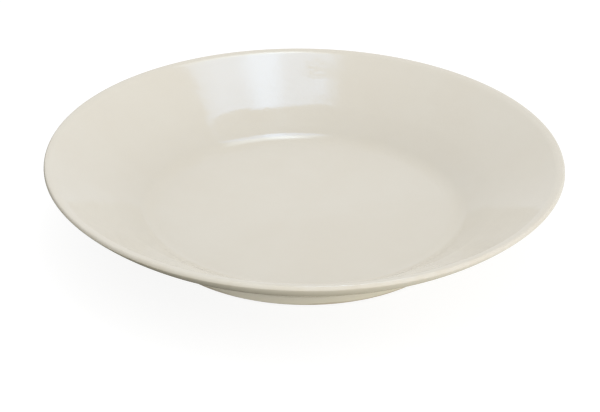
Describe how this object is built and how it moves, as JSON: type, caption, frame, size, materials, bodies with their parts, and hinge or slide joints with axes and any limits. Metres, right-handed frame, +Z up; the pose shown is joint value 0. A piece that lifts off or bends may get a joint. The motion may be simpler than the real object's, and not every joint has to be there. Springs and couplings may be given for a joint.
{
  "type": "evaporating dish",
  "caption": "Shallow round flat-bottomed dish in ivory-glazed ceramic, with a wide sloping flank, a rounded lip, a flat well and a low foot ring.",
  "frame": {"origin": "centre of the plane that the foot ring stands on", "axes": "+Z up along the dish's axis of revolution; the dish is round, so +X and +Y are any two directions across it"},
  "size_m": [0.23, 0.23, 0.0354],
  "materials": {
    "bare_clay": "unglazed fired clay, wiped bare on the foot's standing face",
    "ivory_glaze": "glossy ivory glaze",
    "ivory_glaze_base": "glossy ivory glaze, underside inside the foot ring"
  },
  "bodies": {
    "root": {"clay_body": "bare_clay", "glaze_coat": "ivory_glaze", "base_glaze": "ivory_glaze_base"}
  },
  "joints": []
}
